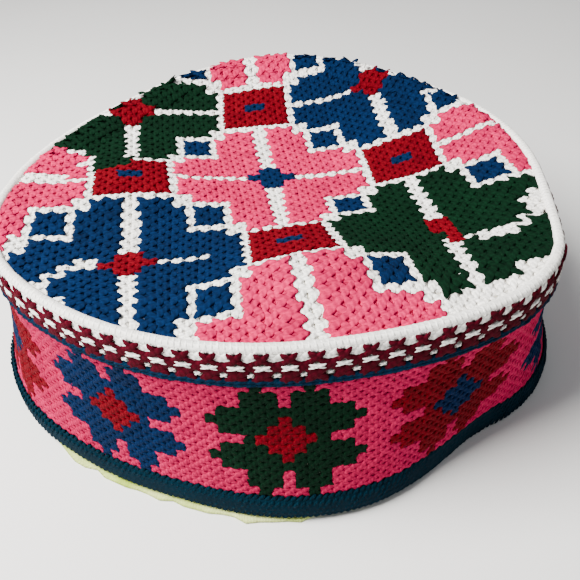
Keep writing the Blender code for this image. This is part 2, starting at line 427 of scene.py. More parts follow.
class Bench:
    """Modelling by hand: adds a primitive, shapes it in edit mode and reads it back."""

    @staticmethod
    def clear() -> None:
        """Leave edit mode and deselect everything."""
        if bpy.context.mode != 'OBJECT':
            bpy.ops.object.mode_set(mode='OBJECT')
        bpy.ops.object.select_all(action='DESELECT')

    @staticmethod
    def take(item: bpy.types.Object) -> bpy.types.Object:
        """Select one object alone and make it active.

        Args:
            item: the object.

        Returns:
            The same object.
        """
        Bench.clear()
        item.select_set(True)
        bpy.context.view_layer.objects.active = item
        return item

    @staticmethod
    def lofted(sides: int, stations: Iterable[tuple[float, float, float, float]]) -> bpy.types.Object:
        """Extrude a round face through stations along X.

        Args:
            sides: corners of the section.
            stations: (x, z, half width along Y, half height along Z) of each section.

        Returns:
            The closed tube.
        """
        places = list(stations)
        Bench.clear()
        x, z, width, height = places[0]
        bpy.ops.mesh.primitive_circle_add(vertices=sides, radius=1.0, fill_type='NGON',
                                          location=(x, 0.0, z), rotation=(0.0, math.pi / 2, 0.0))
        item = bpy.context.object
        bpy.ops.object.transform_apply(location=True, rotation=True, scale=True)
        bpy.ops.object.mode_set(mode='EDIT')
        bpy.ops.mesh.select_all(action='SELECT')
        bpy.ops.transform.resize(value=(1.0, width, height), center_override=(x, 0.0, z))
        for after in places[1:]:
            step = (after[0] - x, 0.0, after[1] - z)
            bpy.ops.mesh.extrude_region_move(TRANSFORM_OT_translate={"value": step})
            ratio = (1.0, after[2] / width, after[3] / height)
            x, z, width, height = after
            bpy.ops.transform.resize(value=ratio, center_override=(x, 0.0, z))
        bpy.ops.mesh.select_all(action='SELECT')
        bpy.ops.mesh.normals_make_consistent(inside=False)
        bpy.ops.object.mode_set(mode='OBJECT')
        return item

    @staticmethod
    def domed(sides: int, rings: Iterable[Pair]) -> bpy.types.Object:
        """Extrude a flat round face upwards through rings.

        Args:
            sides: corners of each ring.
            rings: (height, radius) of each ring, from the lowest.

        Returns:
            The closed dome.
        """
        places = list(rings)
        Bench.clear()
        height, radius = places[0]
        bpy.ops.mesh.primitive_circle_add(vertices=sides, radius=radius, fill_type='NGON',
                                          location=(0.0, 0.0, height))
        item = bpy.context.object
        bpy.ops.object.transform_apply(location=True, rotation=True, scale=True)
        bpy.ops.object.mode_set(mode='EDIT')
        bpy.ops.mesh.select_all(action='SELECT')
        for after in places[1:]:
            bpy.ops.mesh.extrude_region_move(
                TRANSFORM_OT_translate={"value": (0.0, 0.0, after[0] - height)})
            ratio = after[1] / radius
            height, radius = after
            bpy.ops.transform.resize(value=(ratio, ratio, 1.0),
                                     center_override=(0.0, 0.0, height))
        bpy.ops.mesh.select_all(action='SELECT')
        bpy.ops.mesh.normals_make_consistent(inside=False)
        bpy.ops.object.mode_set(mode='OBJECT')
        return item

    @staticmethod
    def ply_map(item: bpy.types.Object, lay: float) -> np.ndarray:
        """UV of a tube along X: u counts lays along it and v goes once round it.

        Args:
            item: the tube.
            lay: length of one turn of the plies.

        Returns:
            UV pairs, one for each face corner.
        """
        mesh = item.data
        middle = {}
        for vertex in mesh.vertices:
            middle.setdefault(round(vertex.co.x, 5), []).append(vertex.co.z)
        pairs = []
        for face in mesh.polygons:
            turns = []
            for index in face.vertices:
                spot = mesh.vertices[index].co
                level = middle[round(spot.x, 5)]
                turns.append(math.atan2(spot.z - sum(level) / len(level), spot.y) / math.tau)
            wraps = max(turns) - min(turns) > 0.5
            for index, turn in zip(face.vertices, turns):
                around = turn + 1.0 if wraps and turn < 0.0 else turn
                pairs.append((mesh.vertices[index].co.x / lay, around))
        return np.array(pairs)

    @staticmethod
    def shape(item: bpy.types.Object, lay: float) -> Shape:
        """Read a modelled piece of yarn and remove it.

        Args:
            item: the modelled object.
            lay: length of one turn of the plies.

        Returns:
            Its arrays.
        """
        made = Shape.read(item, Bench.ply_map(item, lay))
        bpy.data.objects.remove(item, do_unlink=True)
        return made


@dataclass
class CrossStitch:
    """One cross stitch in a cell of 1 by 1, its yarn as high as 1; both legs and a soft pad."""

    reach: float = 0.90
    width: float = 0.26
    thick: float = 0.26
    sides: int = 6
    lay: float = 0.42
    pad: float = 0.515
    pad_sides: int = 4
    rings: tuple[Pair, ...] = ((-0.20, 1.02), (0.46, 1.0), (0.62, 0.60))
    under: Triple = (0.56, 0.60, 0.60)
    over: Triple = (0.57, 0.62, 0.67)

    def leg(self, heights: Triple) -> Shape:
        """One leg, along X, with pointed ends.

        Args:
            heights: of its middle line at its ends, its shoulders and its middle.

        Returns:
            The leg.
        """
        w, r, t = self.width, self.reach, self.thick
        end, shoulder, middle = heights
        stations = (
            (-r, end, 0.38 * w, 0.45 * t),
            (-0.66 * r, shoulder, 0.92 * w, 0.95 * t),
            (-0.20 * r, middle, w, t),
            (0.20 * r, middle, w, t),
            (0.66 * r, shoulder, 0.92 * w, 0.95 * t),
            (r, end, 0.38 * w, 0.45 * t),
        )
        return Bench.shape(Bench.lofted(self.sides, stations), self.lay)

    def build(self) -> Shape:
        """Both legs over the pad.

        Returns:
            The whole stitch.
        """
        half_diagonal = self.pad * math.sqrt(2.0)
        rings = [(height, share * half_diagonal) for height, share in self.rings]
        pad = Bench.shape(Bench.domed(self.pad_sides, rings), self.lay).turned(45.0)
        legs = self.leg(self.under).turned(-45.0).joined(self.leg(self.over).turned(45.0))
        return legs.joined(pad)


@dataclass
class PlainStitch:
    """One straight stitch in a cell of 1 by 1 by 1, its yarn along X."""

    width: float = 0.5
    height: float = 0.5
    sides: int = 6
    lay: float = 0.4
    overlap: float = 0.58

    def build(self) -> Shape:
        """The stitch.

        Returns:
            Its arrays.
        """
        end, w = self.overlap, self.width
        stations = (
            (-end, 0.0, 0.35 * w, 0.12),
            (-0.72 * end, 0.32, 0.9 * w, 0.8 * self.height),
            (0.0, 0.48, w, self.height),
            (0.72 * end, 0.32, 0.9 * w, 0.8 * self.height),
            (end, 0.0, 0.35 * w, 0.12),
        )
        return Bench.shape(Bench.lofted(self.sides, stations), self.lay)


@dataclass
class Layout:
    """Places for copies of one stitch: middles, the two spans of each cell, and its rise."""

    TONE_SPREAD = 0.07
    TONE_LIMITS = (0.8, 1.2)

    middles: np.ndarray
    across: np.ndarray
    along: np.ndarray
    height: float

    def normals(self) -> np.ndarray:
        """Unit normals of the cells.

        Returns:
            One normal for each cell.
        """
        normal = np.cross(self.across, self.along)
        return normal / np.linalg.norm(normal, axis=1)[:, None]

    def lay(self, stitch: Shape, seed: int, wobble: float = 0.05) -> tuple[np.ndarray, np.ndarray]:
        """Copy the stitch to every place, each copy a little different.

        Args:
            stitch: the stitch to copy.
            seed: start of the random draws.
            wobble: how much each copy differs.

        Returns:
            Points of all copies, and a tone for each point.
        """
        count = len(self.middles)
        draw = np.random.default_rng(seed)
        turn = draw.normal(0.0, wobble, count)
        swell = 1.0 + draw.normal(0.0, wobble, (count, 3))
        slip = draw.normal(0.0, 0.4 * wobble, (count, 2))
        tone = np.clip(1.0 + draw.normal(0.0, self.TONE_SPREAD, count), *self.TONE_LIMITS)
        local = stitch.points[None, :, :] * swell[:, None, :]
        cos, sin = np.cos(turn)[:, None], np.sin(turn)[:, None]
        x = local[:, :, 0] * cos - local[:, :, 1] * sin + slip[:, :1]
        y = local[:, :, 0] * sin + local[:, :, 1] * cos + slip[:, 1:]
        z = local[:, :, 2] * self.height
        points = (self.middles[:, None, :] + x[:, :, None] * self.across[:, None, :]
                  + y[:, :, None] * self.along[:, None, :] + z[:, :, None] * self.normals()[:, None, :])
        tones = np.repeat(tone[:, None], len(stitch.points), axis=1)
        return points, tones


class Maker:
    """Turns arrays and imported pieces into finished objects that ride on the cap."""

    def __init__(self) -> None:
        """Start with no materials made."""
        self.materials: dict[Enum, bpy.types.Material] = {}
        self.body = next(iter(frame["bodies"]))

    def material(self, choice: Wool | Weave) -> bpy.types.Material:
        """The material of a wool or a cloth, made once.

        Args:
            choice: which one.

        Returns:
            The material.
        """
        if choice not in self.materials:
            finish = YARNS[choice] if isinstance(choice, Wool) else CLOTHS[choice]
            self.materials[choice] = finish.material()
        return self.materials[choice]

    def dress(self, item: bpy.types.Object, choice: Wool | Weave,
              stands_for: Iterable[str] = ()) -> bpy.types.Object:
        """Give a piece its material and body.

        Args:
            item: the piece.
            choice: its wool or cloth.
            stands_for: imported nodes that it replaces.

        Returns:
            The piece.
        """
        item.data.materials.clear()
        item.data.materials.append(self.material(choice))
        item.data.shade_smooth()
        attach(item, self.body)
        if stands_for:
            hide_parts(*stands_for)
        LOG.info("%s: %d points, %d faces", item.name, len(item.data.vertices), len(item.data.polygons))
        return item

    def copies(self, name: str, stitch: Shape, points: np.ndarray, tones: np.ndarray,
               choice: Wool) -> bpy.types.Object:
        """Join copies of a stitch into one object.

        Args:
            name: the object's name.
            stitch: the stitch that was copied.
            points: points of each copy.
            tones: tone of each point.
            choice: the wool.

        Returns:
            The object.
        """
        count = len(points)
        size, loops = len(stitch.points), len(stitch.corners)
        mesh = bpy.data.meshes.new(name)
        mesh.vertices.add(count * size)
        mesh.vertices.foreach_set("co", points.reshape(-1).astype(np.float32))
        shift = np.arange(count)[:, None]
        mesh.loops.add(count * loops)
        mesh.loops.foreach_set("vertex_index", (stitch.corners[None, :] + shift * size).reshape(-1))
        mesh.polygons.add(count * len(stitch.starts))
        mesh.polygons.foreach_set("loop_start", (stitch.starts[None, :] + shift * loops).reshape(-1))
        mesh.update(calc_edges=True)
        mesh.uv_layers.new(name="ply")
        mesh.uv_layers["ply"].data.foreach_set("uv", np.tile(stitch.uv.reshape(-1), count))
        tone = mesh.attributes.new("tone", 'FLOAT', 'POINT')
        tone.data.foreach_set("value", tones.reshape(-1).astype(np.float32))
        item = bpy.data.objects.new(name, mesh)
        bpy.context.scene.collection.objects.link(item)
        return self.dress(item, choice)

    def under_layer(self, node: str, name: str, inset: float, choice: Weave | Wool,
                    cuts: int = 0) -> bpy.types.Object:
        """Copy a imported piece, slightly slimmer, as the cloth under its stitches.

        Args:
            node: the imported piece.
            name: the new piece's name.
            inset: how far its faces draw in.
            choice: its cloth or wool.
            cuts: rounds of smooth subdivision.

        Returns:
            The new piece, which replaces the node.
        """
        source = frame["nodes"][node]
        item = bpy.data.objects.new(name, source.data.copy())
        bpy.context.scene.collection.objects.link(item)
        Bench.take(item)
        bpy.ops.object.mode_set(mode='EDIT')
        bpy.ops.mesh.select_all(action='SELECT')
        bpy.ops.mesh.remove_doubles(threshold=0.01 * MM)
        bpy.ops.mesh.customdata_custom_splitnormals_clear()
        bpy.ops.mesh.tris_convert_to_quads()
        if inset:
            bpy.ops.transform.shrink_fatten(value=-inset)
        bpy.ops.object.mode_set(mode='OBJECT')
        if cuts:
            smooth = item.modifiers.new("smooth", 'SUBSURF')
            smooth.levels = smooth.render_levels = cuts
            bpy.ops.object.modifier_apply(modifier=smooth.name)
        Wrap.weave_map(item, "ply" if isinstance(choice, Wool) else "weave")
        tone = item.data.attributes.new("tone", 'FLOAT', 'POINT')
        tone.data.foreach_set("value", np.ones(len(item.data.vertices), np.float32))
        return self.dress(item, choice, (node,))


class Wrap:
    """Distances round and up the cap, for cloth that follows it."""

    RADIUS = 95.0 * MM
    FLAT_RISE = 0.8               # upward part of a flat face's normal
    FLAT_AREA = 4.0 * MM * MM

    @staticmethod
    def weave_map(item: bpy.types.Object, name: str) -> None:
        """Map a piece's cloth by distance round the cap and by height, or flat on the crown.

        Args:
            item: the piece.
            name: the map's name.
        """
        mesh = item.data
        for old in list(mesh.uv_layers):
            mesh.uv_layers.remove(old)
        layer = mesh.uv_layers.new(name=name)
        pairs = np.zeros((len(mesh.loops), 2), np.float32)
        for face in mesh.polygons:
            flat = abs(face.normal.z) > Wrap.FLAT_RISE and face.area > Wrap.FLAT_AREA
            spots = [mesh.vertices[index].co for index in face.vertices]
            turns = [math.atan2(spot.x - PLAN_CENTRE[0], -spot.y + PLAN_CENTRE[1]) for spot in spots]
            wraps = max(turns) - min(turns) > math.pi
            for corner, spot, turn in zip(face.loop_indices, spots, turns):
                turn += math.tau if wraps and turn < 0.0 else 0.0
                pairs[corner] = (spot.x, spot.y) if flat else (turn * Wrap.RADIUS, spot.z)
        layer.data.foreach_set("uv", pairs.reshape(-1))


class Ring:
    """A packed ring, read step by step round the cap's plan."""

    TRIES = (0.0, 0.4 * MM, -0.4 * MM, 1.0 * MM, -1.0 * MM)    # heights about the asked one

    def __init__(self, node: str) -> None:
        """Read the ring.

        Args:
            node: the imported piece.
        """
        mesh = frame["nodes"][node].data
        spots = np.zeros(len(mesh.vertices) * 3)
        mesh.vertices.foreach_get("co", spots)
        spots = spots.reshape(-1, 3)
        away = spots[:, :2] - np.array(PLAN_CENTRE)
        self.spots = spots
        self.radii = np.hypot(away[:, 0], away[:, 1])
        self.turns = np.degrees(np.arctan2(away[:, 0], -away[:, 1])) % 360.0
        self.steps = np.rint(self.turns / 360.0 * STEPS).astype(int) % STEPS
        bare = [tuple(vertex.co) for vertex in mesh.vertices]
        faces = [tuple(face.vertices) for face in mesh.polygons]
        self.tree = BVHTree.FromPolygons(bare, faces)

    def each_step(self, measure: Callable[[np.ndarray, np.ndarray], float]) -> np.ndarray:
        """A measure of every step round the ring.

        Args:
            measure: takes the radii and heights of a step's points.

        Returns:
            One value for each step.
        """
        values = []
        for step in range(STEPS):
            mine = self.steps == step
            values.append(measure(self.radii[mine], self.spots[mine, 2]))
        return np.array(values)

    @staticmethod
    def between(values: np.ndarray, azimuth: np.ndarray) -> np.ndarray:
        """Values at any azimuths, on a smooth closed curve through the steps.

        Args:
            values: one value for each step.
            azimuth: azimuths in degrees.

        Returns:
            The values there.
        """
        place = (np.asarray(azimuth, float) % 360.0) / 360.0 * STEPS
        at = np.floor(place).astype(int)
        t = place - at
        p0, p1, p2, p3 = (values[(at + k) % STEPS] for k in (-1, 0, 1, 2))
        return 0.5 * (2.0 * p1 + (p2 - p0) * t + (2.0 * p0 - 5.0 * p1 + 4.0 * p2 - p3) * t * t
                      + (3.0 * p1 - p0 - 3.0 * p2 + p3) * t ** 3)

    def face_radius(self, azimuth: float, height: float) -> float:
        """Radius of the ring's outer face.

        Args:
            azimuth: in degrees.
            height: above the table.

        Returns:
            The radius, or the nearest one where the ring has no face at that height.
        """
        turn = math.radians(azimuth)
        way = Vector((math.sin(turn), -math.cos(turn), 0.0))
        start = Vector((*PLAN_CENTRE, height)) + way * RUN_OUT
        for lift in self.TRIES:
            hit = self.tree.ray_cast(start + Vector((0.0, 0.0, lift)), -way)[0]
            if hit is not None:
                return (hit.xy - Vector(PLAN_CENTRE)).length
        return float(self.between(self.each_step(lambda r, z: r.max()), np.array([azimuth]))[0])


def on_plan(azimuth: np.ndarray, radius: np.ndarray, height: np.ndarray) -> np.ndarray:
    """Points at azimuths and radii about the cap's plan centre.

    Args:
        azimuth: in degrees.
        radius: from the plan centre.
        height: above the table.

    Returns:
        The points.
    """
    turn = np.radians(azimuth)
    return np.stack([PLAN_CENTRE[0] + radius * np.sin(turn), PLAN_CENTRE[1] - radius * np.cos(turn),
                     height + 0.0 * turn], axis=-1)


class Drift:
    """How far the worked cloth has drifted from its even chart.

    Each row gives a spot's column and row on the chart, and how far east and north of its even
    place it lies, in millimetres. The spots were listed one by one. Their distances were not:
    a separate calculation, which this file does not hold, made them and rounded them to 0.5.
    """

    MOVES = (
        (0, 0, 0.5, -1.5), (-12, 11, -0.5, -1.5), (12, 11, 0.5, 1.5), (-12, -11, 0, -3.5),
        (12, -11, 0, -2.5), (0, 11, 0, -2.5), (0, -11, 0.5, 1), (12, 0, -1, -4),
        (-12, 0, 0, -0.5), (-15, 2.5, 0.5, -6), (9, -2.5, -0.5, -7), (15, -2.5, -3, -6),
        (-3, 13.5, 0.5, -5.5), (3, 8.5, -0.5, -4), (-6, 5.5, -1, -4), (6, -5.5, -1, -1.5),
        (-6, -5.5, 1.5, 1.5), (6, -16.5, 2, 4.5), (-6, -16.5, 0, 1), (-18, -5.5, -0.5, -3),
        (18, -5.5, -2.5, -0.5), (18, 5.5, 0, 1), (6, 16.5, 1, -2.5), (-6, 16.5, 1, -1.5),
        (6, 0, -0.5, -4), (-5, 0, 0, 1.5), (-18, 0, 0, -3), (18, 0, -1, 1.5),
        (8, 11, 0, -4.5), (-15.5, 11, 0, -9), (12, 6.5, 0, 0.5), (12, -6.5, -2, -1),
        (0, 16, 2, -1.5), (-9, -11, 0.5, -5), (-15, -11, 0.5, -4), (-17.5, -11, 0, -12.5),
        (-12, -19, 3.5, 0.5), (12, -18.5, -3.5, 2), (0, -20, 0.5, -3), (0, -22, 0, -10.5),
        (4, -17.6, 1.5, -3), (-4, -17.6, 0, -5), (9.5, -18.5, 0.5, -7.5), (-9.5, -18.5, 0, -13),
        (12, -22, -2, -13), (-12, -22, 2, -13.5), (24, -11, 2, -9), (-24, -11, 0, -9.5),
    )
    REACH = 5.0        # cells over which a spot's move fades
    EASE = 0.15        # how loosely the moves are followed
    WORN = 5.0 * MM    # more drift than this is rows that were added or left out

    def __init__(self) -> None:
        """Fit one smooth bump to each spot."""
        moves = np.array(self.MOVES, float)
        self.spots = moves[:, :2]
        hold = self.bumps(self.spots[:, 0], self.spots[:, 1]) + self.EASE * np.eye(len(moves))
        self.share = np.linalg.solve(hold, moves[:, 2:] * MM)

    def bumps(self, x: np.ndarray, y: np.ndarray) -> np.ndarray:
        """How near chart spots are to each listed spot.

        Args:
            x: columns.
            y: rows.

        Returns:
            A row of shares, 0 to 1, for each spot.
        """
        away = (x[:, None] - self.spots[:, 0]) ** 2 + (y[:, None] - self.spots[:, 1]) ** 2
        return np.exp(-away / (2.0 * self.REACH ** 2))

    def at(self, x: np.ndarray, y: np.ndarray) -> np.ndarray:
        """Drift of chart spots.

        Args:
            x: columns.
            y: rows.

        Returns:
            East and north drift of each spot, in metres.
        """
        return self.bumps(x, y) @ self.share


class Kind(Enum):
    """What a cell of the crown's chart belongs to."""

    PETAL = "petal"
    HEART = "heart"
    SQUARE = "square"
    STAR = "star"
    HALO = "halo"
    RING = "ring"
    ARM = "arm"
    THIN_ARM = "thin arm"
    LINE = "line"


@dataclass(frozen=True)
class Patch:
    """A block of cells that the maker worked outside the repeat, between its four edges."""

    west: float
    east: float
    south: float
    north: float
    kind: Kind
    wool: Wool

    def holds(self, x: float, y: float) -> bool:
        """Whether a cell is in the patch."""
        return self.west < x < self.east and self.south < y < self.north


PATCHES = (
    Patch(15.0, math.inf, -20.0, -9.0, Kind.PETAL, Wool.GREEN),
    Patch(19.0, math.inf, -9.5, -7.5, Kind.PETAL, Wool.GREEN),
    Patch(-21.0, -15.0, 6.5, 8.0, Kind.PETAL, Wool.GREEN),
    Patch(-16.0, -15.0, 4.5, 8.0, Kind.PETAL, Wool.GREEN),
    Patch(-21.0, -15.0, 5.5, 8.0, Kind.LINE, Wool.CREAM),
    Patch(-17.0, -15.0, 4.5, 8.0, Kind.LINE, Wool.CREAM),
    Patch(-16.0, -15.0, 3.0, 8.0, Kind.LINE, Wool.CREAM),
    Patch(-21.0, -15.0, 3.0, 8.0, Kind.PETAL, Wool.PINK),
    Patch(-21.0, -17.0, 0.5, 1.5, Kind.ARM, Wool.CREAM),
    Patch(-15.0, -12.0, 1.0, 4.0, Kind.PETAL, Wool.GREEN),
)


@dataclass
class CrownChart:
    """The crown's repeat: four-petalled flowers and red squares on a diamond lattice.

    Cells are named by column and row from the middle of the chart, and flowers and squares
    by their column and row on the lattice. A swell is the share of a cell that other wool
    covers beside a kind of cell, across the rows and along them.
    """

    columns: int = 12
    rows: int = 11
    square_half: Pair = (3.0, 2.5)
    star: Pair = (6.0, 5.5)
    outline: float = 0.885
    cream_give: float = -0.04
    heart_share: float = 0.4
    swells: tuple[tuple[Kind, float, float], ...] = (
        (Kind.RING, 0.15, 0.22),
        (Kind.ARM, 0.26, 0.08),
        (Kind.THIN_ARM, 0.17, 0.12),
        (Kind.LINE, 0.17, 0.14),
        (Kind.HALO, 0.10, 0.08),
    )
    curved_arms: tuple[Pair, ...] = (
        (13.5, -13), (14.5, -13), (14.5, -14), (15.5, -13), (15.5, -14), (16.5, -13), (16.5, -14),
        (17.5, -12), (17.5, -13), (18.5, -11), (18.5, -12), (18.5, -10), (19.5, -9), (19.5, -10),
        (19.5, -11), (14.5, -19), (15.5, -18), (15.5, -19), (16.5, -18), (16.5, -19), (17.5, -18),
        (-14.5, -10), (-14.5, -11), (-15.5, -10), (-15.5, -11), (-16.5, -11), (-16.5, -12),
        (-16.5, -10), (-17.5, -11), (-17.5, -12), (-17.5, -13), (-18.5, -12), (-18.5, -13),
        (-18.5, -14), (-17.5, -14))
    bent_heart: tuple[Pair, ...] = (
        (11.5, -10), (12.5, -10), (11.5, -11), (12.5, -11), (12.5, -12), (12.5, -13))

    def node_of(self, x: float, y: float) -> tuple[int, int]:
        """The flower that a cell belongs to.

        Args:
            x: the cell's column from the middle of the chart.
            y: its row.

        Returns:
            The flower's place on the lattice.
        """
        low = (math.floor(x / self.columns), math.floor(y / self.rows))
        spots = [(low[0] + i, low[1] + j) for i in (0, 1) for j in (0, 1)]
        flowers = [spot for spot in spots if (spot[0] + spot[1]) % 2 == 0]
        return min(flowers, key=lambda spot: abs(x / self.columns - spot[0])
                   + abs(y / self.rows - spot[1]))

    def in_square(self, x: float, y: float) -> tuple[Kind, Wool] | None:
        """A cell of a square or its cream edge.

        Args:
            x: the cell's column.
            y: its row.

        Returns:
            Kind and wool, or None outside the squares.
        """
        m, n = round(x / self.columns), round(y / self.rows)
        dx, dy = abs(x - m * self.columns), abs(y - n * self.rows)
        half_x, half_y = self.square_half
        if (m + n) % 2 == 0 or dx > half_x + 1.0 or dy > half_y + 1.0 or (m, n) == (-1, -2):
            return None
        if dx > half_x or dy > half_y or n == -2:
            return Kind.RING, Wool.CREAM
        if dx < 1.0 and dy < 0.6:
            return Kind.HEART, Wool.BLUE
        return Kind.SQUARE, Wool.RED

    def in_flower(self, x: float, y: float) -> tuple[Kind, Wool]:
        """A cell of a flower, its arms or the line round it.

        Args:
            x: the cell's column.
            y: its row.

        Returns:
            Kind and wool.
        """
        m, n = self.node_of(x, y)
        petal, heart = self.flower(m, n)
        dx, dy = x - m * self.columns, y - n * self.rows
        p, q = abs(dx), abs(dy)
        if n != -2 and (m, n) != (1, -1) and ((q < 0.5 and p < 2.0) or (q < 1.5 and p < 1.0)):
            return Kind.HEART, heart
        if p < 1.0 or q < 0.5:
            return self.in_arm(m, n, dx, dy, petal)
        if abs(p - self.star[0]) < 1.0 and abs(q - self.star[1]) < 1.0:
            return Kind.STAR, Wool.BLUE
        if abs(p - self.star[0]) < 2.0 and abs(q - self.star[1]) < 2.0:
            return Kind.HALO, Wool.CREAM
        if p / self.columns + q / self.rows > self.outline:
            return Kind.LINE, Wool.CREAM
        return Kind.PETAL, petal

    @staticmethod
    def in_arm(m: int, n: int, dx: float, dy: float, petal: Wool) -> tuple[Kind, Wool]:
        """A cell of a flower's cross, which is thin or covered in places.

        Args:
            m: the flower's column on the lattice.
            n: its row.
            dx: columns from the flower's middle.
            dy: rows from it.
            petal: wool of its petals.

        Returns:
            Kind and wool.
        """
        if (m, n) == (1, -1) and (abs(dx) > 1.0 and dx > -7.0 or abs(dy) < 1.5):
            return Kind.PETAL, petal
        if (m, n) == (-1, -1) and (dx > 6.0 or dx < -4.5):
            return Kind.PETAL, petal
        thin = (m, n) in ((0, 0), (1, 1)) and dx < -1.0 or (m, n) == (-1, -1) and dx > 1.0
        return (Kind.THIN_ARM if thin else Kind.ARM), Wool.CREAM

    def cell(self, x: float, y: float) -> tuple[Kind, Wool]:
        """Kind and wool of a cell, with the places where the maker left the repeat.

        Args:
            x: the cell's column, a half more than a whole number.
            y: its row, a whole number.

        Returns:
            Kind and wool.
        """
        if (x, y) in self.curved_arms:
            return Kind.LINE, Wool.CREAM
        if (x, y) in self.bent_heart:
            return Kind.HEART, Wool.RED
        for patch in PATCHES:
            if patch.holds(x, y):
                return patch.kind, patch.wool
        return self.in_square(x, y) or self.in_flower(x, y)

    @staticmethod
    def flower(m: int, n: int) -> tuple[Wool, Wool]:
        """Petal and heart wools of a flower.

        Args:
            m: its column on the lattice.
            n: its row on the lattice.

        Returns:
            Wool of the petals and of the heart.
        """
        if m % 2 == 0:
            return Wool.PINK, Wool.BLUE
        if m * n > 0:
            return Wool.BLUE, Wool.RED
        return Wool.GREEN, Wool.RED

    def swell(self, mine: Kind, other: Kind, axis: int) -> float:
        """How far a cell's wool spreads over its neighbour.

        Args:
            mine: the cell's kind.
            other: its neighbour's kind.
            axis: 0 for a neighbour in the row, 1 for one in the column.

        Returns:
            Share of a cell.
        """
        table = {kind: (across, along) for kind, across, along in self.swells}
        if mine in table:
            return self.cream_give
        if other not in table or mine is Kind.SQUARE:
            return 0.0
        return table[other][axis] * (self.heart_share if mine is Kind.HEART else 1.0)


